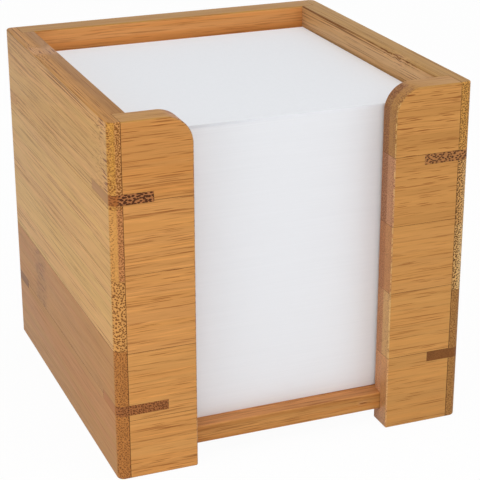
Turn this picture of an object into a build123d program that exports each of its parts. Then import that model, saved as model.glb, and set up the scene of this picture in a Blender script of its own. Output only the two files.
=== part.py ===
"""Bamboo memo box with its block of loose note paper.

Millimetres, +Z up, front towards -Y, origin at the middle of the footprint on the table.
The walls lap at the corners in rabbets, eight feather keys are let into sawn kerfs across the
corners, and the bottom board is held in a groove in every wall.  Each board is glued up from
bamboo strips, and each strip is a piece of its own.
"""
from build123d import *
import os

# Note paper and the room left around it
note_size = 90.0            # side of a square sheet
note_side_gap = 0.5         # paper to side wall, each side
note_front_gap = 1.0        # paper to the back of the front stiles
note_back_gap = 2.0         # paper to the back wall
block_height = 86.9         # the pressed stack
loose_height = 0.7          # the few sheets that lie loose on top
headroom = 6.4              # top sheet to the rim of the box

# Boards
side_thickness = 7.5
end_thickness = 8.0         # back board and front stiles
stile_width = 23.5          # outside corner of the box to the edge of the front opening
stile_corner_radius = 8.0   # rounding at the top of each stile beside the opening
lap_cheek = 3.5             # what a rabbet leaves of a side board, seen as end grain
bottom_thickness = 5.5
bottom_lift = 4.5           # table to the underside of the bottom board
groove_depth = 3.9          # groove for the bottom board, in all four walls
bottom_play = 0.2           # edge of the bottom board to the floor of its groove
corner_rounding = 2.0       # upright outside corners of the box
arris = 0.5                 # easing of the other exposed edges

# Feather keys across the corners.  The kerfs were sawn one by one, so the legs differ:
# each pair is the length along the front or back and the length along the side.
key_thickness = 3.0
key_inset = 21.2            # middle of a key to the top or bottom of the box
key_legs = {
    "front_left_lower": (15.0, 12.7),
    "front_left_upper": (12.1, 16.3),
    "front_right_lower": (10.7, 14.5),
    "front_right_upper": (14.1, 13.0),
    "back_left_lower": (14.0, 12.7),
    "back_left_upper": (15.5, 9.8),
    "back_right_lower": (13.0, 13.5),
    "back_right_upper": (12.5, 14.0),
}

# Bamboo strips.  The glue joints seen on a board are measured from its lower or front edge,
# and the joints after them follow at the usual width of a strip.
strip_width = 20.5
least_strip = 8.0           # a joint nearer than this to a board's edge is planed away
left_side_joints = (21.5, 39.3)
right_side_joints = (20.9, 41.4)
back_joints = (19.4, 40.2)
left_stile_joints = (18.0, 38.4, 61.2)
right_stile_joints = (22.8, 43.3)
bottom_joints = (18.6, 39.4)

# Sizes that follow
well_width = note_size + 2 * note_side_gap
well_depth = note_front_gap + note_size + note_back_gap
bottom_top = bottom_lift + bottom_thickness
box_width = well_width + 2 * side_thickness
box_depth = well_depth + 2 * end_thickness
box_height = bottom_top + block_height + loose_height + headroom
slot_width = box_width - 2 * stile_width
end_length = box_width - 2 * lap_cheek
bottom_width = well_width + 2 * (groove_depth - bottom_play)
bottom_depth = well_depth + 2 * (groove_depth - bottom_play)
note_centre_y = (note_front_gap - note_back_gap) / 2
cutter_size = 2 * max(box_width, box_depth, box_height)
same_length = 0.01          # two lengths that differ by less are the same

sides = {"left": -1, "right": 1}
ends = {"front": -1, "back": 1}
key_heights = {"lower": key_inset, "upper": box_height - key_inset}

os.makedirs("parts", exist_ok=True)


def write_piece(piece, name):
    """Label a finished piece and write it to its own file."""
    piece.part.label = name
    export_step(piece.part, f"parts/{name}.step")


def is_slot_edge(edge):
    """Whether the middle of an edge lies on a side of the front opening."""
    return abs(abs(edge.center().X) - slot_width / 2) < same_length


def is_stile_arc(edge):
    """Whether a round edge borders the rounded top corner of a stile."""
    return abs(edge.radius - stile_corner_radius) < same_length


def key_blank(side, end, level):
    """Make the triangle of one key, square at the outside corner, at its height."""
    end_leg, side_leg = key_legs[f"{end}_{side}_{level}"]
    corner_x = sides[side] * box_width / 2
    corner_y = ends[end] * box_depth / 2
    with BuildPart() as blank:
        with BuildSketch(Plane.XY.offset(key_heights[level] - key_thickness / 2)):
            with BuildLine():
                Polyline(
                    (corner_x, corner_y),
                    (corner_x - sides[side] * end_leg, corner_y),
                    (corner_x, corner_y - ends[end] * side_leg),
                    close=True,
                )
            make_face()
        extrude(amount=key_thickness)
    return blank.part


def wall_board(blank, groove_span_x, groove_span_y):
    """Groove and kerf the blank of a wall, and cut it to the form of the sanded box."""
    with BuildPart() as board:
        add(blank.part)
        with BuildSketch(Plane.XY.offset(bottom_lift)):
            Rectangle(groove_span_x, groove_span_y)
        extrude(amount=bottom_thickness, mode=Mode.SUBTRACT)
        add(key_blanks.values(), mode=Mode.SUBTRACT)
        add(sanded_form.part, mode=Mode.INTERSECT)
    return board


def strip_bounds(seen_joints, length):
    """List the two edges of each strip across a board, which starts at 0."""
    joints = list(seen_joints)
    while joints[-1] + strip_width < length:
        joints.append(joints[-1] + strip_width)
    kept = [joint for joint in joints if joint < length - least_strip]
    return list(zip([0.0] + kept, kept + [length]))


def write_strips(board, name, seen_joints, first_edge, length):
    """Cut a finished board along its glue joints, from the plane of its first edge on."""
    for number, (low, high) in enumerate(strip_bounds(seen_joints, length), start=1):
        with BuildPart() as strip:
            add(board.part)
            with BuildSketch(first_edge.offset(low)):
                Rectangle(cutter_size, cutter_size)
            extrude(amount=high - low, mode=Mode.INTERSECT)
        write_piece(strip, f"{name}_strip_{number}")


# The glued box as it leaves the sander: its outside, its well and its front opening, with the
# edges eased.  Every wall and key is cut to this form, so that they end flush.
with BuildPart() as sanded_form:
    with BuildSketch():
        RectangleRounded(box_width, box_depth, corner_rounding)
        Rectangle(well_width, well_depth, mode=Mode.SUBTRACT)
        with Locations((0, -(box_depth - end_thickness) / 2)):
            Rectangle(slot_width, end_thickness, mode=Mode.SUBTRACT)
    extrude(amount=box_height)
    rim = sanded_form.edges().group_by(Axis.Z)[-1]
    fillet(rim.filter_by(Axis.Y).filter_by(is_slot_edge), radius=stile_corner_radius)
    rim = sanded_form.faces().filter_by(Axis.Z).edges()
    slot_uprights = sanded_form.edges().filter_by(Axis.Z).filter_by(is_slot_edge)
    stile_arcs = sanded_form.edges().filter_by(GeomType.CIRCLE).filter_by(is_stile_arc)
    fillet(rim + slot_uprights + stile_arcs, radius=arris)

# Feather keys, still standing proud.  The same triangles are the kerfs sawn in the walls.
key_blanks = {
    f"{end}_{side}_{level}_key": key_blank(side, end, level)
    for side in sides
    for end in ends
    for level in key_heights
}

# Side boards, full depth and full height, with a rabbet at each end of the inner face
end_centres = [(0, sign * (box_depth - end_thickness) / 2) for sign in ends.values()]
for side, sign in sides.items():
    with BuildPart() as side_blank:
        with BuildSketch():
            with Locations((sign * (box_width - side_thickness) / 2, 0)):
                Rectangle(side_thickness, box_depth)
            with Locations(end_centres):
                Rectangle(end_length, end_thickness, mode=Mode.SUBTRACT)
        extrude(amount=box_height)
    side_board = wall_board(side_blank, well_width + 2 * groove_depth, box_depth)
    joints = left_side_joints if side == "left" else right_side_joints
    write_strips(side_board, f"{side}_side", joints, Plane.XY, box_height)

# Back board, let into the rabbets at both ends
with BuildPart() as back_blank:
    with BuildSketch():
        with Locations((0, (box_depth - end_thickness) / 2)):
            Rectangle(end_length, end_thickness)
    extrude(amount=box_height)
back_board = wall_board(back_blank, box_width, well_depth + 2 * groove_depth)
write_strips(back_board, "back", back_joints, Plane.XY, box_height)

# Front stiles, one each side of the opening, with the grain lying level as on the back board
for side, sign in sides.items():
    with BuildPart() as stile_blank:
        with BuildSketch():
            with Locations((sign * (end_length + slot_width) / 4, -(box_depth - end_thickness) / 2)):
                Rectangle((end_length - slot_width) / 2, end_thickness)
        extrude(amount=box_height)
    stile = wall_board(stile_blank, box_width, well_depth + 2 * groove_depth)
    joints = left_stile_joints if side == "left" else right_stile_joints
    write_strips(stile, f"{side}_stile", joints, Plane.XY, box_height)

# Bottom board, held in the grooves.  Its front edge shows below the paper.
with BuildPart() as bottom_board:
    with BuildSketch(Plane.XY.offset(bottom_lift)):
        Rectangle(bottom_width, bottom_depth)
    extrude(amount=bottom_thickness)
    front_face = bottom_board.faces().sort_by(Axis.Y)[0]
    fillet(front_face.edges().filter_by(Axis.X), radius=arris)
bottom_front = Plane.ZX.offset(-bottom_depth / 2)
write_strips(bottom_board, "bottom", bottom_joints, bottom_front, bottom_depth)

# Feather keys, sanded flush with the outside of the box
for name, blank in key_blanks.items():
    with BuildPart() as key:
        add(blank)
        add(sanded_form.part, mode=Mode.INTERSECT)
    write_piece(key, name)

# Note paper: the pressed block, and the loose sheets on top of it
with BuildPart() as note_block:
    with BuildSketch(Plane.XY.offset(bottom_top)):
        with Locations((0, note_centre_y)):
            Rectangle(note_size, note_size)
    extrude(amount=block_height)
write_piece(note_block, "note_block")

with BuildPart() as loose_sheets:
    with BuildSketch(Plane.XY.offset(bottom_top + block_height)):
        with Locations((0, note_centre_y)):
            Rectangle(note_size, note_size)
    extrude(amount=loose_height)
write_piece(loose_sheets, "loose_sheets")

print(f"box {box_width:.1f} x {box_depth:.1f} x {box_height:.1f} mm, slot {slot_width:.1f} mm")
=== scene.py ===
"""Looks of a bamboo memo box with its loose note paper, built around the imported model.

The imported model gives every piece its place.  Each bamboo strip and feather key gets fine eased
joint lines and a lacquered finish that follows its own grain, the paper is stacked from single
sheets, and a plain white studio holds the camera and the lamps.
"""
import logging
import math
import random
from collections.abc import Mapping, Sequence
from dataclasses import dataclass, field, replace
from enum import Enum
from functools import cached_property

import bmesh
import bpy
from bmesh.types import BMEdge, BMesh, BMVert
from bpy.types import ID, Material, Node, NodeSocket, Object, World
from mathutils import Matrix, Quaternion, Vector

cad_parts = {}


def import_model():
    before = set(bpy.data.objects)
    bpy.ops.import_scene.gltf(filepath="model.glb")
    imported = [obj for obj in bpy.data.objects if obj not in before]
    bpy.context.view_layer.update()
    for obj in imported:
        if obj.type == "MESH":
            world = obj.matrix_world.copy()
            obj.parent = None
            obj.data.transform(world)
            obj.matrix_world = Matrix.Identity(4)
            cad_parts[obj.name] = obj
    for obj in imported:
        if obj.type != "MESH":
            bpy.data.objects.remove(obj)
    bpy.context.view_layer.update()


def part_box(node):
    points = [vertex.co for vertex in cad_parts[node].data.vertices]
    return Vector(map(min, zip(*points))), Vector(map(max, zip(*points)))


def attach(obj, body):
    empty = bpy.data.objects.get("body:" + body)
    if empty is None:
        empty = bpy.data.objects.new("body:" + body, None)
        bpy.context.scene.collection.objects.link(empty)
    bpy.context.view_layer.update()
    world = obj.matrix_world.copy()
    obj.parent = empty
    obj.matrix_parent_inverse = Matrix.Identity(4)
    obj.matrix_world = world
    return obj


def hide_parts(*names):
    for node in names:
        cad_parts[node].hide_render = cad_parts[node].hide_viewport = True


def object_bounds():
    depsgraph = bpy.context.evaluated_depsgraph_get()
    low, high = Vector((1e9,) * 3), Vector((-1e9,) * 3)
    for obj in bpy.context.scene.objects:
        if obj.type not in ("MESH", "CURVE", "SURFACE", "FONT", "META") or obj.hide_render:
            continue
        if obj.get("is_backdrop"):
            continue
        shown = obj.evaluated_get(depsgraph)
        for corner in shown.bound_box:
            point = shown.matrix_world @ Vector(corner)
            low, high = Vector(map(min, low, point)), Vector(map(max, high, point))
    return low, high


LOG = logging.getLogger("memo_box")
MM = 0.001
PLAIN_WHITE = (1.0, 1.0, 1.0, 1.0)
UP = (0.0, 0.0, 1.0)
GLUE_BROWN = (74, 40, 22)
# Colour of the painted highlight, in spots on the eased upright edges
EDGE_HIGHLIGHT_PALE = (238, 196, 126)
CHECK_BROWN = (124, 66, 18)
KNUCKLE_PALE = (224, 172, 130)

Colour = tuple[int, int, int]
Triple = tuple[float, float, float]


def linear(colour: Colour, gain: float = 1.0) -> tuple[float, float, float, float]:
    """Turn a colour of a screen into the scene's linear light.

    Args:
        colour: Red, green and blue from 0 to 255, as a screen shows them.
        gain: Factor on the light of all three.

    Returns:
        Linear red, green and blue, and an alpha of 1.
    """
    shares = (channel / 255 for channel in colour)
    light = (s / 12.92 if s <= 0.04045 else ((s + 0.055) / 1.055) ** 2.4 for s in shares)
    return (*(min(1.0, channel * gain) for channel in light), 1.0)


class Value:
    """A number that varies over a surface.  Arithmetic on it adds Math nodes to its shader."""

    def __init__(self, shader: "Shader", socket: NodeSocket) -> None:
        """Wrap an output socket of the shader."""
        self.shader = shader
        self.socket = socket

    def __add__(self, other: "Value | float") -> "Value":
        """Add two numbers."""
        return self.shader.math("ADD", self, other)

    def __sub__(self, other: "Value | float") -> "Value":
        """Take a number from this one."""
        return self.shader.math("SUBTRACT", self, other)

    def __rsub__(self, other: float) -> "Value":
        """Take this number from a plain one."""
        return self.shader.math("SUBTRACT", other, self)

    def __mul__(self, other: "Value | float") -> "Value":
        """Multiply two numbers."""
        return self.shader.math("MULTIPLY", self, other)

    def __truediv__(self, other: "Value | float") -> "Value":
        """Divide this number by another."""
        return self.shader.math("DIVIDE", self, other)

    __radd__ = __add__
    __rmul__ = __mul__

    def size(self) -> "Value":
        """Return the number without its sign."""
        return self.shader.math("ABSOLUTE", self)

    def at_most(self, other: "Value | float") -> "Value":
        """Return the smaller of two numbers."""
        return self.shader.math("MINIMUM", self, other)

    def at_least(self, other: "Value | float") -> "Value":
        """Return the larger of two numbers."""
        return self.shader.math("MAXIMUM", self, other)

    def bell(self) -> "Value":
        """Return 1 where this number is 0, falling off smoothly on both sides."""
        return self.shader.math("EXPONENT", self * self * -1.0)

    def plateau(self) -> "Value":
        """Return 1 around 0, falling off steeply on both sides."""
        return (self * self).bell()

    def ramp(self, start: float, end: float) -> "Value":
        """Rise smoothly from 0 at one value to 1 at another.

        Args:
            start: Value where the result is 0.
            end: Value where the result is 1.  It may be less than start.

        Returns:
            The share of the way, held between 0 and 1.
        """
        sockets = {"Value": self, "From Min": start, "From Max": end}
        node = self.shader.node("ShaderNodeMapRange", {"interpolation_type": "SMOOTHSTEP"}, sockets)
        return Value(self.shader, node.outputs["Result"])

    def toward(self, other: "Value | float", share: "Value | float") -> "Value":
        """Go from this number to another by a share from 0 to 1."""
        return self + (other - self) * share


class Shader:
    """The node tree of one material or of the sky, put together node by node."""

    def __init__(self, owner: Material | World) -> None:
        """Start with an empty node tree.

        Args:
            owner: The new material or sky.
        """
        self.owner = owner
        owner.use_nodes = True
        self.tree = owner.node_tree
        self.tree.nodes.clear()

    @cached_property
    def places(self) -> Node:
        """The node that tells the place on the piece and the way its surface faces."""
        return self.node("ShaderNodeTexCoord")

    def node(
        self,
        kind: str,
        settings: Mapping[str, object] | None = None,
        sockets: Mapping[str | int, object] | None = None,
    ) -> Node:
        """Add one node.

        Args:
            kind: The node's type.
            settings: Its own settings, which are set first.
            sockets: Values or links for its input sockets, by name or number.

        Returns:
            The new node.
        """
        made = self.tree.nodes.new(kind)
        for name, setting in (settings or {}).items():
            setattr(made, name, setting)
        for key, fed in (sockets or {}).items():
            source = fed.socket if isinstance(fed, Value) else fed
            if isinstance(source, NodeSocket):
                self.tree.links.new(source, made.inputs[key])
            else:
                made.inputs[key].default_value = source
        return made

    def math(self, operation: str, *numbers: Value | float) -> Value:
        """Add a Math node on the numbers and return its result."""
        node = self.node("ShaderNodeMath", {"operation": operation}, dict(enumerate(numbers)))
        return Value(self, node.outputs[0])

    def vector(self, operation: str, *vectors: object) -> NodeSocket:
        """Add a Vector Math node on the vectors and return its result."""
        node = self.node("ShaderNodeVectorMath", {"operation": operation}, dict(enumerate(vectors)))
        return node.outputs["Vector"]

    def scaled(self, vector: object, factor: Value | float) -> NodeSocket:
        """Multiply a vector or a colour by a number."""
        sockets = {"Vector": vector, "Scale": factor}
        return self.node("ShaderNodeVectorMath", {"operation": "SCALE"}, sockets).outputs["Vector"]

    def stretched(self, place: object, along: float, beside: float) -> NodeSocket:
        """Measure a place in units of one length along the grain and another beside it."""
        return self.vector("MULTIPLY", place, (1 / along, 1 / beside, 1 / beside))

    def split(self, vector: object) -> tuple[Value, Value, Value]:
        """Return the three parts of a vector."""
        node = self.node("ShaderNodeSeparateXYZ", sockets={"Vector": vector})
        return tuple(Value(self, part) for part in node.outputs)

    def mix(self, share: Value | float, first: object, second: object) -> NodeSocket:
        """Go from the first colour to the second by a share from 0 to 1."""
        node = self.node("ShaderNodeMix", {"data_type": "RGBA"}, {0: share, 6: first, 7: second})
        return node.outputs[2]

    def facing(self, way: Triple) -> Value:
        """Compare the way the surface faces with a direction.

        Args:
            way: The direction, of length 1.

        Returns:
            How squarely it faces that way or the opposite one, from 0 to 1.
        """
        sockets = {0: self.places.outputs["Normal"], 1: way}
        node = self.node("ShaderNodeVectorMath", {"operation": "DOT_PRODUCT"}, sockets)
        return Value(self, node.outputs["Value"]).size()

    def noise(self, place: object, detail: float, rough: float = 0.5) -> Node:
        """Add cloudy noise at a scale of 1 and return its node."""
        sockets = {"Vector": place, "Scale": 1.0, "Detail": detail, "Roughness": rough}
        return self.node("ShaderNodeTexNoise", sockets=sockets)

    def cloud(self, place: object, detail: float = 2.0, rough: float = 0.5) -> Value:
        """Return cloudy noise as a number around one half."""
        return Value(self, self.noise(place, detail, rough).outputs[0])

    def stir(self, place: object) -> NodeSocket:
        """Return soft cloudy noise as a vector around zero."""
        return self.vector("SUBTRACT", self.noise(place, 1.0).outputs["Color"], (0.5, 0.5, 0.5))

    def nearest(self, place: object, flat: bool = False) -> Value:
        """Return the distance to the nearest of many scattered points.

        Args:
            place: Where to look, in units of the points' spacing.
            flat: Whether the points lie in the plane of the first two coordinates.

        Returns:
            The distance, 0 at a point.
        """
        settings = {"voronoi_dimensions": "2D" if flat else "3D", "feature": "F1"}
        node = self.node("ShaderNodeTexVoronoi", settings, {"Vector": place, "Scale": 1.0})
        return Value(self, node.outputs["Distance"])

    @cached_property
    def seen_directly(self) -> Value:
        """The share of rays from the camera, and of what metal or glass would show of them."""
        path = self.node("ShaderNodeLightPath")
        names = ("Is Camera Ray", "Is Glossy Ray", "Is Transmission Ray")
        camera, glossy, through = (Value(self, path.outputs[name]) for name in names)
        return (camera + glossy + through).at_most(1.0)

    def bump(self, height: Value, strength: float, depth: float) -> NodeSocket:
        """Return the normal of a surface raised by a height, whose full depth is in metres."""
        sockets = {"Strength": strength, "Distance": depth, "Height": height}
        return self.node("ShaderNodeBump", sockets=sockets).outputs["Normal"]

    def surface(self, sockets: Mapping[str, object]) -> NodeSocket:
        """Add the surface of a plain solid and return it."""
        return self.node("ShaderNodeBsdfPrincipled", sockets=sockets).outputs["BSDF"]

    def finish(self, surface: NodeSocket) -> Material | World:
        """Link the surface, or the light of the sky, to the output and return the owner."""
        self.node(f"ShaderNodeOutput{type(self.owner).__name__}", sockets={"Surface": surface})
        return self.owner


class Grain(Enum):
    """The way the fibres of a piece run, as the turn from the X axis in degrees."""

    ACROSS = 0.0
    FRONT_TO_BACK = 90.0


class Axis(Enum):
    """An axis of the box, by its number."""

    X = 0
    Y = 1
    Z = 2


@dataclass(frozen=True)
class Knuckle:
    """A ring of the bamboo stem that crosses a strip.  Lengths are in millimetres.

    Attributes:
        at: Place along the grain.
        width: Half the width of its mark.
        depth: How dark its checks are on the broad faces, from 0 to 1.
        rim_depth: How dark they are on faces that look up or down, from 0 to 1.
        centre: Its middle on the other two axes.
        spread: How far it reaches from there.
        paler: How much paler the flesh is around the checks, from -1, dark, to 1.
    """

    at: float
    width: float = 2.2
    depth: float = 0.5
    rim_depth: float = 0.9
    centre: tuple[float, float] = (0.0, 0.0)
    spread: float = 1000.0
    paler: float = 0.2


@dataclass(frozen=True)
class Bamboo:
    """Lacquered bamboo.  Lengths are in millimetres, and strengths go from 0 to 1.

    Attributes:
        flesh: Colour between the bundles of fibres, on faces along the grain.
        bundle: Colour of the bundles there.
        rim: Colour between the bundles on faces that look up or down: edge tone and painted shade.
        rim_inner: Colour there towards the well.  None keeps it.
        end_flesh: Colour between the bundles on sawn ends.
        end_bundle: Colour of the bundles there.
        pitch: Distance between bundles on faces along the grain.
        dash: Length over which a bundle rises into the face and leaves it again.
        share: Half the thickness of a dash as a share of the pitch.
        strength: How much the dashes stand out.
        scored: How much the few long dark lines do.
        end_pitch: Distance between bundles on sawn ends.
        end_oval: How much longer the dots there are than high.
        end_share: Radius of a dot as a share of that pitch.
        end_strength: How much the dots stand out.
        band: Distances from the middle of the box, across the board, where the crowded skin
            side of the stem starts and is full.  None where it doesn't show.
        band_flesh: Colour between the bundles on the skin side.
        sparse: How much the dots fade beside it.
        outer: Distances towards the outer face where they start to come back and are back.
        edge_dots: How much they come back there.
        mottle: How much the tone varies in long bands.
        streak: How much the fine dark fibres show.
        glint: How much lighter the fine pale fibres are.
        drift: Colour that the flesh turns to in broad bands.  None keeps it.
        rim_lines: Middle and half width of a zone beside an upper arris where the bundles
            crowd, how far down it reaches, and half the thickness of a bundle there as a
            share of their distance.  None where they don't.
        joints: How dark its glue lines are.
        worn: How strong the painted highlight is, in spots on the eased upright edges.
    """

    flesh: Colour
    bundle: Colour
    rim: Colour
    end_flesh: Colour
    end_bundle: Colour
    pitch: float = 0.42
    dash: float = 28.0
    share: float = 0.34
    strength: float = 0.7
    scored: float = 0.6
    end_pitch: float = 0.52
    end_oval: float = 1.1
    end_share: float = 0.34
    end_strength: float = 0.85
    band: tuple[float, float] | None = None
    band_flesh: Colour = (190, 132, 84)
    sparse: float = 0.0
    outer: tuple[float, float] = (52.1, 52.7)
    edge_dots: float = 0.0
    mottle: float = 0.08
    streak: float = 0.5
    glint: float = 0.3
    drift: Colour | None = None
    rim_inner: Colour | None = None
    rim_lines: tuple[float, float, float, float] | None = None
    joints: float = 0.85
    worn: float = 0.0


class BambooShader(Shader):
    """The node tree of one piece of bamboo.  Lengths are in millimetres."""

    STEM_REACH = 400.0
    # Length along the grain and width of what repeats in the stem
    FIBRE = (24.0, 0.5)
    THICKET = (50.0, 3.5)
    BAND = (90.0, 3.0)
    BROAD_BAND = (160.0, 3.0)
    RIM_BUNDLE = (90.0, 0.45)
    SWAY = (50.0, 1 / 0.14)
    CHECK = (1 / 0.15, 0.625)
    RIPPLE = (3.0, 1.6)
    # Length, width and height of the waves in the fibres
    WAVES = ((60.0, 12.0, 0.9), (9.0, 2.0, 0.14))
    # How much longer and farther apart the long dark lines are than the dashes
    SCORE = (2.5, 4.0)
    # Spots of the painted edge highlight per millimetre
    WORN_SPOTS_PER_MM = 1.1
    # How squarely a level, sawn or eased face looks along an axis, where it starts and is full
    LEVEL = (0.25, 0.6)
    SAWN = (0.15, 0.42)
    SLANT = (0.99, 0.85)
    # Distances from the middle of the box where the rim turns to its inner colour
    INWARD = (51.2, 48.0)
    # Noise where each starts and is full
    DARK_FIBRE = (0.53, 0.68)
    PALE_FIBRE = (0.46, 0.32)
    IN_THICKET = (0.36, 0.62)
    IN_BAND = (0.3, 0.7)
    IN_BROAD_BAND = (0.4, 0.6)
    IN_SPOT = (0.42, 0.6)
    # Distance from the middle of a mark where it starts and is full
    ON_CHECK = (0.45, 0.25)
    ON_SCORE = (0.15, 0.08)
    ON_RIM_BUNDLE = (1.0, 0.55)
    ON_DASH = (1.0, 0.6)
    ON_DOT = (1.0, 0.7)
    DARK_OUTSIDE_THICKETS = 0.3
    DARKEST_RIM_BUNDLE = 0.95
    WIDER_CROWDED_DOTS = 0.25
    RING_SWAY = 9.0
    SWIRL_HEIGHT = 1.8
    SWIRL_WIDTH_IN_RINGS = 2.2
    # Height of fine fibres, and depth of bundles and checks, as shares of the relief
    RELIEF = (0.6, 0.7, 0.8)
    # Roughness of the lacquer, and what bundles, fine fibres and glue lines add
    ROUGH = (0.40, 0.12, 0.2, 0.2)

    def __init__(
        self, name: str, look: Bamboo, grain: Grain, across: Axis, knuckles: Sequence[Knuckle]
    ) -> None:
        """Find the place on the piece and in the stem, and the way the surface faces.

        Args:
            name: Name of the material.  It also sets where in the stem the piece was cut.
            look: The finish.
            grain: The way the fibres run.
            across: The axis through the thickness of the board.
            knuckles: The knuckles that cross the piece.
        """
        super().__init__(bpy.data.materials.new(name))
        self.look = look
        draw = random.Random(name)
        cut_from = tuple(draw.uniform(-self.STEM_REACH, self.STEM_REACH) for _ in range(3))
        place = self.places.outputs["Object"]
        turn = math.radians(grain.value)
        sockets = {"Vector": place, "Rotation": (0.0, 0.0, -turn), "Scale": (1 / MM,) * 3}
        straight = self.node("ShaderNodeMapping", {"vector_type": "POINT"}, sockets).outputs["Vector"]
        self.grown = self.vector("ADD", straight, cut_from)
        # Faces that look up or down, which take the rim colour with its painted shade
        self.rim = self.facing(UP).ramp(*self.LEVEL)
        self.end = self.facing((math.cos(turn), math.sin(turn), 0.0)).ramp(*self.SAWN)
        spans = [part.size() * (1 / MM) for part in self.split(place)]
        self.depth, self.height = spans[across.value], spans[Axis.Z.value]
        swirl, self.mark, self.pale = self._knuckle_marks(straight, knuckles)
        self.fibres = self._swayed(swirl)
        self.crowd = self.depth.ramp(*look.band) if look.band else self.depth * 0.0
        settings = {"attribute_name": Joinery.MARK, "attribute_type": "GEOMETRY"}
        self.glue = Value(self, self.node("ShaderNodeAttribute", settings).outputs["Fac"])

    def material(self) -> Material:
        """Put the surface together.

        Returns:
            The material.
        """
        look = self.look
        bundles = self._dashes.at_least(self._rim_lines).toward(self._dots, self.end)
        fine = self.cloud(self.stretched(self.fibres, *self.FIBRE), detail=3.0, rough=0.7)
        dark = self.mix(self.end, linear(look.bundle), linear(look.end_bundle))
        colour = self.mix(fine.ramp(*self.DARK_FIBRE) * look.streak, self._flesh, dark)
        colour = self.scaled(colour, 1.0 + fine.ramp(*self.PALE_FIBRE) * (look.streak * look.glint))
        colour = self.scaled(colour, 1.0 + self.pale.at_most(0.0))
        colour = self.mix(self.pale.at_least(0.0), colour, linear(KNUCKLE_PALE))
        colour = self.mix(bundles, colour, dark)
        colour = self.mix(self.mark, colour, linear(CHECK_BROWN))
        # Painted highlight: pale spots on the eased upright edges
        colour = self.mix(self._worn, colour, linear(EDGE_HIGHLIGHT_PALE))
        colour = self.mix(self.glue * look.joints, colour, linear(GLUE_BROWN))
        raised, sunk, checked = self.RELIEF
        rough, rough_bundle, rough_fibre, rough_glue = self.ROUGH
        lacquer = rough + bundles * rough_bundle + (fine - 0.5) * rough_fibre + self.glue * rough_glue
        relief = fine * raised - bundles * sunk - self.mark * checked
        sockets = {
            "Base Color": colour,
            "Roughness": lacquer,
            "IOR": 1.45,
            "Specular IOR Level": 0.13,
            "Normal": self.bump(relief, 0.55, 0.03 * MM),
        }
        return self.finish(self.surface(sockets))

    def _knuckle_marks(self, straight: object, knuckles: Sequence[Knuckle]) -> tuple[Value, ...]:
        """Mark the knuckles with short dark checks on paler flesh.

        Args:
            straight: Place on the piece with the grain along X.
            knuckles: The knuckles of the piece.

        Returns:
            The shares of the swirl around them, of their dark checks and of their pale flesh.
        """
        along, beside, up = self.split(straight)
        sway = self.cloud(self.stretched(self.grown, *self.SWAY)) - 0.5
        checks = self.nearest(self.stretched(self.grown, *self.CHECK)).ramp(*self.ON_CHECK)
        swirl = mark = pale = sway * 0.0
        for knuckle in knuckles:
            reach = (along - knuckle.at + sway * self.RING_SWAY) / knuckle.width
            depth = knuckle.depth + self.rim * (knuckle.rim_depth - knuckle.depth)
            beyond = ((beside - knuckle.centre[0]) / knuckle.spread).bell()
            beyond = beyond * ((up - knuckle.centre[1]) / knuckle.spread).bell()
            ring = reach.plateau() * beyond * depth
            swirl = swirl + (reach / self.SWIRL_WIDTH_IN_RINGS).bell() * beyond * depth
            mark = mark + ring
            pale = pale + ring * knuckle.paler
        return swirl.at_most(1.0), mark.at_most(1.0) * checks, pale.at_most(1.0)

    def _swayed(self, swirl: Value) -> NodeSocket:
        """Let the fibres sway a little, and more beside a knuckle.

        Args:
            swirl: Share of the swirl around the knuckles.

        Returns:
            Place in the stem with the sway of the fibres.
        """
        place = self.grown
        for along, beside, height in self.WAVES:
            wave = self.stir(self.stretched(self.grown, along, beside))
            place = self.vector("ADD", place, self.vector("MULTIPLY", wave, (0.0, height, height)))
        ripple = self.stir(self.stretched(self.grown, *self.RIPPLE))
        return self.vector("ADD", place, self.scaled(ripple, swirl * self.SWIRL_HEIGHT))

    @cached_property
    def _rim_lines(self) -> Value:
        """The share of the fine bundles that crowd beside an upper arris."""
        if self.look.rim_lines is None:
            return self.depth * 0.0
        middle, half, reach, share = self.look.rim_lines
        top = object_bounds()[1].z / MM
        zone = ((self.depth - middle) / half).plateau() * ((self.height - top) / reach).plateau()
        spread = self.nearest(self.stretched(self.fibres, *self.RIM_BUNDLE))
        return (spread / share).ramp(*self.ON_RIM_BUNDLE) * zone * self.DARKEST_RIM_BUNDLE

    @cached_property
    def _dashes(self) -> Value:
        """The share of the bundles on faces along the grain, less where they stand out less."""
        look = self.look
        thick = self.cloud(self.stretched(self.fibres, *self.THICKET)).ramp(*self.IN_THICKET)
        least = self.DARK_OUTSIDE_THICKETS
        dark = (least + (1.0 - least) * thick) * look.strength
        spread = self.nearest(self.stretched(self.fibres, look.dash, look.pitch))
        longer, sparser = self.SCORE
        scores = self.nearest(self.stretched(self.fibres, longer * look.dash, sparser * look.pitch))
        scored = scores.ramp(*self.ON_SCORE) * look.scored
        return ((spread / look.share).ramp(*self.ON_DASH) * dark).at_least(scored)

    @cached_property
    def _dots(self) -> Value:
        """The share of the bundles on sawn ends, less where they stand out less."""
        look = self.look
        _, beside, up = self.split(self.fibres)
        sockets = {"X": beside * (1 / look.end_pitch / look.end_oval), "Y": up * (1 / look.end_pitch)}
        spread = self.nearest(self.node("ShaderNodeCombineXYZ", sockets=sockets).outputs[0], flat=True)
        share = look.end_share * (1.0 + self.WIDER_CROWDED_DOTS * self.crowd)
        dots = (spread / share).ramp(*self.ON_DOT) * look.end_strength
        inner = 1.0 - self.depth.ramp(*look.outer) * look.edge_dots
        return dots * (1.0 - (1.0 - self.crowd) * inner * look.sparse) if look.band else dots

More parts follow.
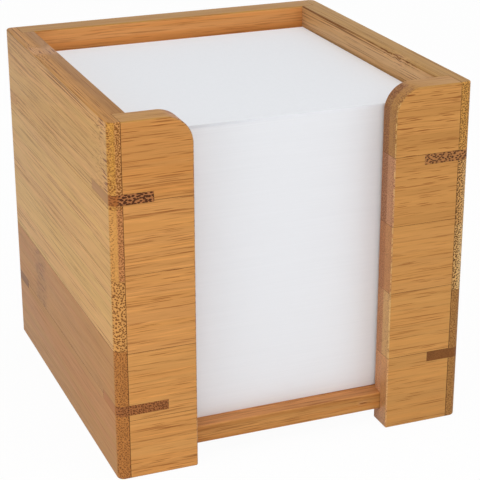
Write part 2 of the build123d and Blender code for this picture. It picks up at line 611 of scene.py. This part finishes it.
    @cached_property
    def _flesh(self) -> NodeSocket:
        """The colour of what lies between the bundles, in long bands."""
        look = self.look
        bands = self.cloud(self.stretched(self.grown, *self.BAND), detail=3.0, rough=0.6)
        broad = self.cloud(self.stretched(self.grown, *self.BROAD_BAND)).ramp(*self.IN_BROAD_BAND)
        face = self.mix(broad, linear(look.flesh), linear(look.drift or look.flesh))
        inward = self.depth.ramp(*self.INWARD)
        # The rim colour holds painted shade on faces that look up, besides their own edge tone
        level = self.mix(inward, linear(look.rim), linear(look.rim_inner or look.rim))
        sawn = self.mix(self.crowd, linear(look.end_flesh), linear(look.band_flesh))
        tone = self.mix(self.end, self.mix(self.rim, face, level), sawn)
        return self.scaled(tone, 1.0 - look.mottle + bands.ramp(*self.IN_BAND) * (2 * look.mottle))

    @cached_property
    def _worn(self) -> Value:
        """Painted highlight in spots on the eased upright edges, whose faces look along no box axis."""
        parts = self.split(self.places.outputs["Normal"])
        width, depth, height = (part.size() for part in parts)
        slanted = width.at_least(depth).at_least(height).ramp(*self.SLANT)
        spots = self.cloud(self.scaled(self.grown, self.WORN_SPOTS_PER_MM)).ramp(*self.IN_SPOT)
        unglued_upright = (1.0 - self.glue).ramp(0.0, 1.0) * (1.0 - self.rim)
        return slanted * spots * unglued_upright * self.look.worn


@dataclass(frozen=True)
class Paper:
    """White note paper.

    Attributes:
        white: Colour of a sheet.
        shade: Colour that its fibres and cut edges fall to.
        sheet: Thickness of a sheet, in millimetres.
    """

    white: Colour = (245, 247, 251)
    shade: Colour = (242, 244, 248)
    sheet: float = 0.1

    FIBRES_PER_MM = 0.9
    EDGE_FIBRES_PER_MM = 0.02
    SHEETS_PER_LINE = 3
    # How squarely the face of a sheet looks up, where it starts and is full
    LEVEL = (0.3, 0.7)
    # Noise where the white starts and is full
    WHITE = (0.25, 0.75)

    def material(self, name: str) -> Material:
        """Make the material, with faint fibres on the faces and fine lines on the cut edges.

        Args:
            name: Name of the material.

        Returns:
            The material.
        """
        shader = Shader(bpy.data.materials.new(name))
        place = shader.scaled(shader.places.outputs["Object"], 1 / MM)
        fibres = shader.cloud(shader.scaled(place, self.FIBRES_PER_MM), detail=5.0, rough=0.7)
        level = self.EDGE_FIBRES_PER_MM
        fineness = (level, level, 1 / (self.SHEETS_PER_LINE * self.sheet))
        lines = shader.cloud(shader.vector("MULTIPLY", place, fineness), rough=0.8)
        height = lines.toward(fibres, shader.facing(UP).ramp(*self.LEVEL))
        tone = height.ramp(*self.WHITE)
        sockets = {
            "Base Color": shader.mix(tone, linear(self.shade), linear(self.white)),
            "Roughness": 0.82 + tone * 0.08,
            "IOR": 1.35,
            "Normal": shader.bump(height, 0.2, 0.006 * MM),
        }
        return shader.finish(shader.surface(sockets))


@dataclass(frozen=True)
class StudioWhite:
    """Plain white of the floor and the backdrop.

    Attributes:
        white: Colour under the lamps.
        lift: Share of plain white that the camera and reflections see.
        faint: Light of its darker clouds, as a share of that of the white.
    """

    white: Colour = (250, 250, 250)
    lift: float = 0.96
    faint: float = 0.985

    CLOUDS_PER_METRE = 4.0

    def material(self, name: str) -> Material:
        """Make the material, which keeps a soft shadow on near white.

        Args:
            name: Name of the material.

        Returns:
            The material.
        """
        shader = Shader(bpy.data.materials.new(name))
        place = shader.scaled(shader.places.outputs["Object"], self.CLOUDS_PER_METRE)
        tone = shader.cloud(place, detail=3.0)
        colour = shader.mix(tone, linear(self.white), linear(self.white, self.faint))
        matt = shader.surface({"Base Color": colour, "Roughness": 0.9, "Specular IOR Level": 0.0})
        plain = shader.node("ShaderNodeEmission", sockets={"Color": PLAIN_WHITE, "Strength": 1.0})
        both = {0: shader.seen_directly * self.lift, 1: matt, 2: plain.outputs["Emission"]}
        return shader.finish(shader.node("ShaderNodeMixShader", sockets=both).outputs["Shader"])


# Each finish's rim colour holds painted shade on faces that look up, besides their edge tone
PALE = Bamboo(
    flesh=(208, 161, 87), drift=(209, 157, 89), bundle=(114, 62, 16), rim=(181, 126, 58),
    end_flesh=(218, 160, 87), end_bundle=(120, 72, 34), pitch=0.34, dash=70.0, share=0.33,
    strength=0.85, scored=0.45, streak=0.32, mottle=0.045, joints=0.5,
)
BROWN = replace(
    PALE, flesh=(185, 128, 54), drift=(183, 122, 56), bundle=(126, 72, 28),
    end_flesh=(184, 121, 61), end_bundle=(104, 58, 28), end_pitch=0.48, share=0.27, strength=0.42,
    scored=0.3, mottle=0.055, joints=1.0,
)
TAN = Bamboo(
    flesh=(214, 152, 83), drift=(209, 147, 80), bundle=(138, 74, 30), rim=(187, 136, 70),
    end_flesh=(190, 136, 92), end_bundle=(116, 70, 44), dash=15.0, share=0.26, strength=0.95,
    mottle=0.035, glint=0.14, end_pitch=0.45, band=(50.9, 50.0), band_flesh=(172, 118, 84),
    sparse=0.6, outer=(52.4, 53.4), edge_dots=0.9, streak=0.6, joints=1.0, worn=0.5,
)
ORANGE = replace(
    TAN, flesh=(228, 161, 96), drift=(217, 145, 78), rim=(180, 131, 64), bundle=(160, 92, 42),
    pitch=0.7, share=0.31, strength=0.42, mottle=0.06,
)
RED = replace(
    TAN, flesh=(201, 143, 79), drift=(190, 125, 63), rim=(202, 138, 82), bundle=(126, 70, 34),
    share=0.31, strength=0.7, mottle=0.13,
)
OLIVE = replace(
    PALE, rim=(180, 134, 68), flesh=(203, 159, 111), drift=(205, 157, 103),
    end_flesh=(224, 183, 124), end_bundle=(88, 56, 28), end_pitch=0.49, end_share=0.365,
    band=(51.6, 50.4), end_strength=0.95, band_flesh=(212, 163, 99),
)
KEY_DARK = Bamboo(
    flesh=(174, 122, 64), bundle=(150, 102, 52), rim=(178, 132, 82), end_flesh=(186, 116, 62),
    end_bundle=(72, 38, 19), end_pitch=0.55, end_oval=1.7, end_share=0.44, end_strength=0.95,
    strength=0.3, scored=0.1, streak=0.25,
)
KEY_FINE = replace(
    KEY_DARK, flesh=(169, 102, 32), end_flesh=(160, 100, 55), end_bundle=(92, 50, 24),
    end_pitch=0.46, end_oval=1.2, end_share=0.39,
)
KEY_PLAIN = replace(KEY_FINE, end_flesh=(132, 83, 40), end_bundle=(108, 62, 30), end_strength=0.5)


class Joint(Enum):
    """A kind of joint line, as the width of its easing in metres and its depth from 0 to 1."""

    BOARD = (0.08 * MM, 1.0)
    KERF = (0.035 * MM, 0.3)
    STRIP = (0.05 * MM, 0.9)


class Joinery:
    """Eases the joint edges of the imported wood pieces."""

    MARK = "glue_line"
    WELD = 0.001 * MM
    SLIVER = 0.012 * MM
    MITRE = 0.28 * MM
    FLAT = math.radians(0.5)
    CORNER = math.radians(40.0)
    ROUND = math.radians(20.0)

    def __init__(self) -> None:
        """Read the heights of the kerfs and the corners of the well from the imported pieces."""
        keys = (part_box("front_left_lower_key"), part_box("front_left_upper_key"))
        self.kerf_levels = [corner.z for box in keys for corner in box]
        self.well = (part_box("right_side_strip_1")[0].x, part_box("back_strip_1")[0].y)

    def eased(self, node: str, name: str, stacked: Axis | None) -> Object:
        """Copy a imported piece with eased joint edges, whose faces are marked as glue lines.

        Args:
            node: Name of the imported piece.
            name: Name of the new piece.
            stacked: The axis along which the strips of its board are stacked, or None for a key.

        Returns:
            The new piece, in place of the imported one.
        """
        low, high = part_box(node)
        levels = () if stacked is None else (low[stacked.value], high[stacked.value])

        def kind(edge: BMEdge) -> Joint:
            """Tell the joint that an edge of the piece lies in.

            Args:
                edge: The edge.

            Returns:
                The joint.
            """
            stack = [corner.co[stacked.value] for corner in edge.verts] if levels else []
            if any(all(abs(place - level) < self.WELD for place in stack) for level in levels):
                return Joint.STRIP
            if not levels or all(self._in_kerf(corner.co.z) for corner in edge.verts):
                return Joint.KERF
            return Joint.BOARD

        mesh = bmesh.new()
        mesh.from_mesh(bpy.data.objects[node].data)
        bmesh.ops.remove_doubles(mesh, verts=mesh.verts, dist=self.WELD)
        bmesh.ops.dissolve_limit(mesh, angle_limit=self.FLAT, verts=mesh.verts, edges=mesh.edges)
        mark = mesh.faces.layers.float.new(self.MARK)
        for joint in Joint:
            corners = [edge for edge in mesh.edges if edge.calc_face_angle_signed(0.0) > self.CORNER]
            eased = [edge for edge in corners if kind(edge) is joint and not self._in_mitre(edge)]
            self._bevel(mesh, eased, joint, mark)
        for face in mesh.faces:
            face.smooth = True
        for edge in mesh.edges:
            edge.smooth = edge.calc_face_angle(0.0) < self.ROUND
        return placed(mesh, name)

    def _in_kerf(self, height: float) -> bool:
        """Whether a height is that of the floor or the roof of a kerf."""
        return any(abs(height - level) < self.WELD for level in self.kerf_levels)

    def _in_mitre(self, edge: BMEdge) -> bool:
        """Tell a short edge where the eased rims of two walls meet in the well.

        Args:
            edge: The edge.

        Returns:
            Whether it is one.
        """
        width, depth = self.well
        places = [corner.co for corner in edge.verts]
        level = all(abs(abs(place.y) - depth) < self.WELD for place in places)
        beside = all(abs(abs(place.x) - width) < self.MITRE for place in places)
        return level and beside and edge.calc_length() < self.MITRE

    def _bevel(
        self, mesh: BMesh, edges: Sequence[BMEdge], joint: Joint, mark: object
    ) -> None:
        """Bevel the edges of a joint and mark the new faces as its glue line.

        Args:
            mesh: The mesh of the piece.
            edges: The edges.
            joint: The joint that they lie in.
            mark: The layer of the mark.
        """
        width, depth = joint.value
        made = bmesh.ops.bevel(
            mesh, geom=list(edges), offset=width, offset_type="OFFSET", segments=1, profile=0.5,
            affect="EDGES", clamp_overlap=False, material=-1,
        )
        for face in made["faces"]:
            face[mark] = depth
        bmesh.ops.dissolve_degenerate(mesh, dist=self.SLIVER, edges=mesh.edges)


def linked(data: ID) -> Object:
    """Put a mesh, a lamp or a camera in the scene.

    Args:
        data: What to put there.

    Returns:
        The object, with the same name.
    """
    made = bpy.data.objects.new(data.name, data)
    bpy.context.scene.collection.objects.link(made)
    return made


def placed(mesh: BMesh, name: str) -> Object:
    """Turn a finished bmesh into an object at the origin and free the bmesh.

    Args:
        mesh: The bmesh.
        name: Name of the object.

    Returns:
        The object.
    """
    data = bpy.data.meshes.new(name)
    mesh.to_mesh(data)
    mesh.free()
    return linked(data)


def aimed(data: ID, place: Triple, way: Vector, roll: float = 0.0) -> Object:
    """Put a lamp or a camera in the scene and point it.

    Args:
        data: The lamp or the camera.
        place: Where it stands, in metres.
        way: The direction it looks in.
        roll: Its turn about that direction, in degrees.

    Returns:
        The object.
    """
    made = linked(data)
    made.location = place
    made.rotation_mode = "QUATERNION"
    level = way.to_track_quat("-Z", "Y")
    made.rotation_quaternion = level @ Quaternion((0.0, 0.0, 1.0), math.radians(roll))
    return made


@dataclass
class StripBoard:
    """A board glued up from bamboo strips.

    Attributes:
        name: Name of the board, which starts the names of its strips.
        grain: The way its fibres run.
        across: The axis through its thickness.
        stacked: The axis along which its strips are stacked.
        finishes: The bamboo of each strip, from the first on.
        knuckles: Knuckles by the number of their strip.
    """

    name: str
    grain: Grain
    across: Axis
    stacked: Axis
    finishes: Sequence[Bamboo]
    knuckles: Mapping[int, Sequence[Knuckle]] = field(default_factory=dict)

    def build(self, joinery: Joinery) -> list[Object]:
        """Make and dress every strip.

        Args:
            joinery: How the joint edges are eased.

        Returns:
            The strips, from the first on.
        """
        strips = []
        for number, finish in enumerate(self.finishes, start=1):
            node = f"{self.name}_strip_{number}"
            strip = joinery.eased(node, f"{node}_bamboo", self.stacked)
            rings = self.knuckles.get(number, ())
            shader = BambooShader(f"bamboo_{node}", finish, self.grain, self.across, rings)
            strip.data.materials.append(shader.material())
            hand_over(strip, "box", f"{self.name}_bamboo", node)
            strips.append(strip)
        return strips


@dataclass
class FeatherKeys:
    """The keys let into kerfs across the corners of the box.

    Attributes:
        finishes: The bamboo of each key, by the key's place.
    """

    finishes: Mapping[str, Bamboo]

    def build(self, joinery: Joinery) -> list[Object]:
        """Make and dress every key.

        Args:
            joinery: How the kerf lines are eased.

        Returns:
            The keys.
        """
        keys = []
        for place, finish in self.finishes.items():
            node = f"{place}_key"
            key = joinery.eased(node, f"{node}_bamboo", None)
            shader = BambooShader(f"bamboo_{node}", finish, Grain.FRONT_TO_BACK, Axis.X, ())
            key.data.materials.append(shader.material())
            hand_over(key, "box", "key_bamboo", node)
            keys.append(key)
        return keys


@dataclass
class NoteBlock:
    """The pressed block of note paper, sheet by sheet.  Lengths are in metres.

    Attributes:
        sheet: Thickness of a sheet.
        fray: How far single sheets stand out.
        lean: How far the edges of the block wander.
        tucked: How many of the lowest sheets stand back from the front.
        tuck: How far their right corner stands back.
        waves: Heights over which the edges wander, across and back.
        seed: Start of the random draws.
    """

    sheet: float = 0.1 * MM
    fray: float = 0.004 * MM
    lean: float = 0.08 * MM
    tucked: int = 3
    tuck: float = 0.5 * MM
    waves: tuple[float, float] = (9.0 * MM, 13.0 * MM)
    seed: int = 7

    def build(self, paper: Paper) -> Object:
        """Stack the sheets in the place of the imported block.

        Args:
            paper: The finish of the sheets.

        Returns:
            The stack, as one piece of many separate sheets.
        """
        low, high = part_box("note_block")
        draw = random.Random(self.seed)
        count = round((high.z - low.z) / self.sheet)
        middle = (low + high) / 2
        span = high.x - low.x - 2 * (self.fray + self.lean)
        across, back = self.waves
        mesh = bmesh.new()
        for number in range(count):
            height = low.z + (number + 0.5) * self.sheet
            wave = Vector((math.sin(height / across), math.sin(height / back + 1.0))) * self.lean
            stray = Vector((draw.uniform(-1, 1), draw.uniform(-1, 1))) * self.fray
            centre = Vector((middle.x + wave.x + stray.x, middle.y + wave.y + stray.y, height))
            turn = Matrix.Identity(4)
            if number < self.tucked:
                centre.y += self.tuck / 2
                turn = Matrix.Rotation(self.tuck / span, 4, "Z")
            size = Matrix.Diagonal((span, span, self.sheet, 1.0))
            bmesh.ops.create_cube(mesh, size=1.0, matrix=Matrix.Translation(centre) @ turn @ size)
        block = placed(mesh, "note_block_sheets")
        block.data.materials.append(paper.material("paper_note_block"))
        hand_over(block, "notes", "note_paper", "note_block")
        return block


@dataclass
class LooseSheets:
    """The few sheets that lie loose on top, curled up at the front left.  Lengths are in metres.

    Attributes:
        sheet: Thickness of a sheet.
        curl: How high the corner of the top sheet rises.
        reach: How far from the corner the curl starts.
        slant: Weight of the distance from the front against that from the left.
        cells: Divisions of a sheet along each side.
        flat: How many of the lower sheets lie flat.
        inset: How far a sheet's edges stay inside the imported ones.
        turned: How far a sheet is turned at most, in degrees.
        stray: How far a sheet strays at most.
        seed: Start of the random draws.
    """

    sheet: float = 0.1 * MM
    curl: float = 0.36 * MM
    reach: float = 55.0 * MM
    slant: float = 0.6
    cells: int = 24
    flat: int = 2
    inset: float = 0.25 * MM
    turned: float = 0.12
    stray: float = 0.08 * MM
    seed: int = 3

    def build(self, paper: Paper) -> Object:
        """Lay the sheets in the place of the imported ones.

        Args:
            paper: The finish of the sheets.

        Returns:
            The sheets, as one piece.
        """
        low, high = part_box("loose_sheets")
        draw = random.Random(self.seed)
        count = round((high.z - low.z) / self.sheet)
        middle = (low + high) / 2
        half = (high.x - low.x) / 2 - self.inset
        mesh = bmesh.new()
        for number in range(count):
            lift = self.curl * max(0, number + 1 - self.flat) / (count - self.flat)
            turn = Matrix.Rotation(math.radians(draw.uniform(-self.turned, self.turned)), 4, "Z")
            stray = Vector((draw.uniform(-1, 1), draw.uniform(-1, 1), 0)) * self.stray
            base = Vector((middle.x, middle.y, low.z + number * self.sheet)) + stray
            laid = Matrix.Translation(base) @ turn
            made = bmesh.ops.create_grid(
                mesh, x_segments=self.cells, y_segments=self.cells, size=half, matrix=laid
            )
            for corner in made["verts"]:
                corner.co.z += lift * self._rise(corner.co, low)
            faces = {face for corner in made["verts"] for face in corner.link_faces}
            bmesh.ops.solidify(mesh, geom=list(faces), thickness=-self.sheet)
        bmesh.ops.recalc_face_normals(mesh, faces=mesh.faces)
        sheets = placed(mesh, "loose_sheets_curled")
        sheets.data.materials.append(paper.material("paper_loose_sheets"))
        hand_over(sheets, "top_sheets", "loose_note_paper", "loose_sheets")
        return sheets

    def _rise(self, place: Vector, corner: Vector) -> float:
        """Return the share of the curl at a place, 1 at the front left corner."""
        away = ((place.x - corner.x) + self.slant * (place.y - corner.y)) / self.reach
        return max(0.0, 1.0 - away) ** 2


def hand_over(piece: Object, body: str, slot: str, *nodes: str) -> None:
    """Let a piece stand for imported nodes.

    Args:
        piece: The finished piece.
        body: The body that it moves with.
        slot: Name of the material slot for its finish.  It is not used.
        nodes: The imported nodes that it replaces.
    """
    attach(piece, body)
    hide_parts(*nodes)
    LOG.info("%s rides on %s and stands for %s", piece.name, body, ", ".join(nodes))


@dataclass
class Lamp:
    """A square soft lamp.  Lengths are in metres.

    Attributes:
        place: Where it hangs.
        size: Its side.
        power: Its light, in watts.
    """

    place: Triple
    size: float
    power: float


@dataclass
class Studio:
    """The plain white studio, with its lamps and camera.  Lengths are in metres.

    Attributes:
        floor_half: Half the side of the floor.
        wall_height: Height of the backdrop.
        cove: Radius of the bend between them.
        sky: Strength of the even light from all around.
        lamps: The lamps.
        aim: The middle of the box, which the lamps point at.
        eye: Place of the camera.
        look: Direction of the camera.
        roll: Turn of the camera about its own axis, in degrees.
        lens: Focal length on a sensor 36 mm wide, in millimetres.
        shift: Shift of the lens, as shares of the image's width.
    """

    floor_half: float = 1.6
    wall_height: float = 1.8
    cove: float = 0.6
    sky: float = 0.4
    lamps: Sequence[Lamp] = (
        Lamp((0.0, -0.1, 1.0), 1.0, 4.3),
        Lamp((-0.1, -0.7, 0.25), 0.5, 0.83),
        Lamp((0.5, -0.6, 0.4), 0.5, 0.65),
        Lamp((-0.25, -0.12, 0.1), 0.16, 0.125),
    )
    aim: Triple = (0.0, 0.0, 0.05)
    eye: Triple = (-0.16116, -0.42067, 0.22292)
    look: Triple = (0.3389, 0.8661, -0.3674)
    roll: float = -0.17
    lens: float = 117.226
    shift: tuple[float, float] = (0.0086, -0.00368)

    # Angle between two faces at a fold, in radians, at least
    FOLD = 1.0

    def build(self) -> None:
        """Set up everything around the object."""
        self._build_stage()
        self._light_sky()
        for number, lamp in enumerate(self.lamps, start=1):
            self._hang(f"lamp_{number}", lamp)
        self._place_camera()
        bpy.context.scene.view_settings.view_transform = "Standard"

    def _build_stage(self) -> None:
        """Make the floor and the backdrop as one bent sheet."""
        mesh = bmesh.new()
        bmesh.ops.create_grid(mesh, x_segments=1, y_segments=1, size=self.floor_half)
        back = max(mesh.edges, key=lambda edge: sum(corner.co.y for corner in edge.verts))
        raised = bmesh.ops.extrude_edge_only(mesh, edges=[back])["geom"]
        corners = [part for part in raised if isinstance(part, BMVert)]
        bmesh.ops.translate(mesh, verts=corners, vec=(0.0, 0.0, self.wall_height))
        bend = [edge for edge in mesh.edges if edge.calc_face_angle(0.0) > self.FOLD]
        bmesh.ops.bevel(
            mesh, geom=bend, offset=self.cove, segments=16, profile=0.5, affect="EDGES", material=-1
        )
        for face in mesh.faces:
            face.smooth = True
        stage = placed(mesh, "studio_sweep")
        stage.data.materials.append(StudioWhite().material("studio_white"))
        stage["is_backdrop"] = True

    def _light_sky(self) -> None:
        """Light the scene evenly from all around, with plain white where it is seen."""
        shader = Shader(bpy.data.worlds.new("studio_sky"))
        strength = self.sky + shader.seen_directly * (1.0 - self.sky)
        sockets = {"Color": PLAIN_WHITE, "Strength": strength}
        light = shader.node("ShaderNodeBackground", sockets=sockets)
        bpy.context.scene.world = shader.finish(light.outputs["Background"])

    def _hang(self, name: str, lamp: Lamp) -> None:
        """Hang a lamp and point it at the box.

        Args:
            name: Name of the lamp.
            lamp: The lamp.
        """
        data = bpy.data.lights.new(name, "AREA")
        data.size = lamp.size
        data.energy = lamp.power
        aimed(data, lamp.place, Vector(self.aim) - Vector(lamp.place)).visible_camera = False

    def _place_camera(self) -> None:
        """Place the camera where the photograph was taken from."""
        data = bpy.data.cameras.new("camera")
        data.lens = self.lens
        data.sensor_width = 36.0
        data.shift_x, data.shift_y = self.shift
        data.clip_start, data.clip_end = 0.01, 20.0
        bpy.context.scene.camera = aimed(data, self.eye, Vector(self.look), self.roll)


def boards() -> list[StripBoard]:
    """List the boards of the box with their bamboo.

    Returns:
        The boards, the sides first.
    """
    skin_inside = (51.5, 50.8)
    knotted = replace(
        PALE, end_flesh=(205, 147, 66), end_bundle=(138, 85, 36), end_pitch=0.48, end_share=0.4,
        end_strength=0.95, band=skin_inside, band_flesh=(206, 147, 84), sparse=0.4, edge_dots=0.9,
    )
    left = [
        BROWN,
        replace(BROWN, flesh=(183, 127, 57)),
        replace(
            PALE, flesh=(211, 164, 89), end_flesh=(212, 153, 84), end_pitch=0.6, end_share=0.41,
            end_strength=0.95,
        ),
        replace(
            PALE, end_flesh=(210, 151, 80), end_bundle=(132, 80, 42), band=skin_inside,
            band_flesh=(198, 134, 80), sparse=0.85, outer=(51.7, 52.5), edge_dots=0.85,
        ),
        replace(
            knotted, flesh=(201, 152, 79), drift=(202, 149, 81), scored=0.6, streak=0.5,
            rim=(190, 132, 60), rim_inner=(163, 108, 33), rim_lines=(52.0, 2.1, 4.5, 0.34),
        ),
    ]
    right = [
        *[replace(BROWN, end_flesh=(174, 124, 66))] * 2,
        OLIVE,
        replace(OLIVE, end_flesh=(218, 170, 108), band_flesh=(206, 152, 88)),
        replace(
            OLIVE, flesh=(215, 170, 119), drift=(216, 167, 111), end_flesh=(208, 150, 74),
            end_share=0.4, end_strength=0.8, band=None, rim_lines=(45.7, 0.4, 1.2, 0.65),
        ),
    ]
    left_tones = [(209, 151, 85), (208, 149, 83), (210, 149, 85), (209, 148, 83), (204, 142, 77)]
    right_stile_looks = [
        ((202, 146, 81), 17.0, 0.22, (208, 151, 99), (212, 153, 107), 0.35),
        ((205, 149, 83), 17.0, 0.235, (206, 160, 104), (194, 136, 92), 0.45),
        ((205, 147, 82), 15.0, 0.22, (191, 134, 85), (183, 122, 79), 0.45),
        ((199, 141, 76), 10.0, 0.28, (195, 140, 100), (175, 120, 84), 0.8),
        ((197, 139, 74), 9.0, 0.29, (180, 129, 71), (164, 112, 66), 0.9),
    ]
    left_stile = [replace(TAN, flesh=tone, share=0.25, strength=0.85, glint=0.3) for tone in left_tones]
    left_stile[-1] = replace(left_stile[-1], drift=(203, 139, 73), share=0.29, strength=1.0)
    columns = ("flesh", "dash", "share", "end_flesh", "band_flesh", "end_strength")
    right_stile = [
        replace(TAN, drift=(206, 147, 80), **dict(zip(columns, look))) for look in right_stile_looks
    ]
    left_knuckles = {
        2: [Knuckle(25.0, 6.0, 0.65, 0.3, paler=-0.2)],
        5: [Knuckle(23.0, 4.6, 0.03, 1.0, paler=0.3), Knuckle(-51.3, 3.6, 1.0, 0.1, paler=0.08)],
    }
    right_knuckles = {5: [Knuckle(-23.0, 4.0, 1.0, 1.0, (-45.5, 104.0), 2.2)]}
    back = [*[ORANGE] * 4, replace(ORANGE, flesh=(223, 156, 92))]
    back_knuckles = {3: [Knuckle(18.0, 2.4, 0.5)]}
    bottom_knuckles = {1: [Knuckle(24.0, 1.5, 1.0, 0.0, (-50.2, 7.5), 0.6)]}
    return [
        StripBoard("left_side", Grain.FRONT_TO_BACK, Axis.X, Axis.Z, left, left_knuckles),
        StripBoard("right_side", Grain.FRONT_TO_BACK, Axis.X, Axis.Z, right, right_knuckles),
        StripBoard("back", Grain.ACROSS, Axis.Y, Axis.Z, back, back_knuckles),
        StripBoard("left_stile", Grain.ACROSS, Axis.Y, Axis.Z, left_stile),
        StripBoard("right_stile", Grain.ACROSS, Axis.Y, Axis.Z, right_stile),
        StripBoard("bottom", Grain.ACROSS, Axis.Z, Axis.Y, [RED] * 5, bottom_knuckles),
    ]


def keys() -> FeatherKeys:
    """List the feather keys with their bamboo.

    Returns:
        The keys, by their places.
    """
    banded = replace(
        KEY_DARK, end_flesh=(172, 104, 50), band=(51.0, 50.2), band_flesh=(174, 112, 66), sparse=0.4
    )
    finishes = {
        "front_left_lower": KEY_FINE,
        "front_left_upper": banded,
        "front_right_lower": KEY_PLAIN,
        "front_right_upper": replace(KEY_DARK, end_flesh=(178, 121, 70), end_bundle=(82, 47, 29)),
        "back_left_lower": replace(KEY_FINE, flesh=(137, 83, 18)),
        "back_left_upper": replace(KEY_PLAIN, flesh=(192, 138, 72)),
        "back_right_lower": KEY_DARK,
        "back_right_upper": KEY_FINE,
    }
    return FeatherKeys(finishes)


def corners() -> list[list[float]]:
    """Return the lowest and highest corner of what is shown, as plain lists."""
    return [list(corner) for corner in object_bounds()]


def report(pieces: Sequence[Object]) -> None:
    """Log the size of each piece's mesh."""
    for piece in pieces:
        LOG.info("%s has %d faces", piece.name, len(piece.data.polygons))


def main() -> None:
    """Build the looks of the box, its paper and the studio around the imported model."""
    logging.basicConfig(level=logging.INFO, format="%(name)s: %(message)s")
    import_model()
    joinery = Joinery()
    for board in boards():
        report(board.build(joinery))
    report(keys().build(joinery))
    paper = Paper()
    report([NoteBlock().build(paper), LooseSheets().build(paper)])
    Studio().build()


if __name__ == "__main__":
    main()
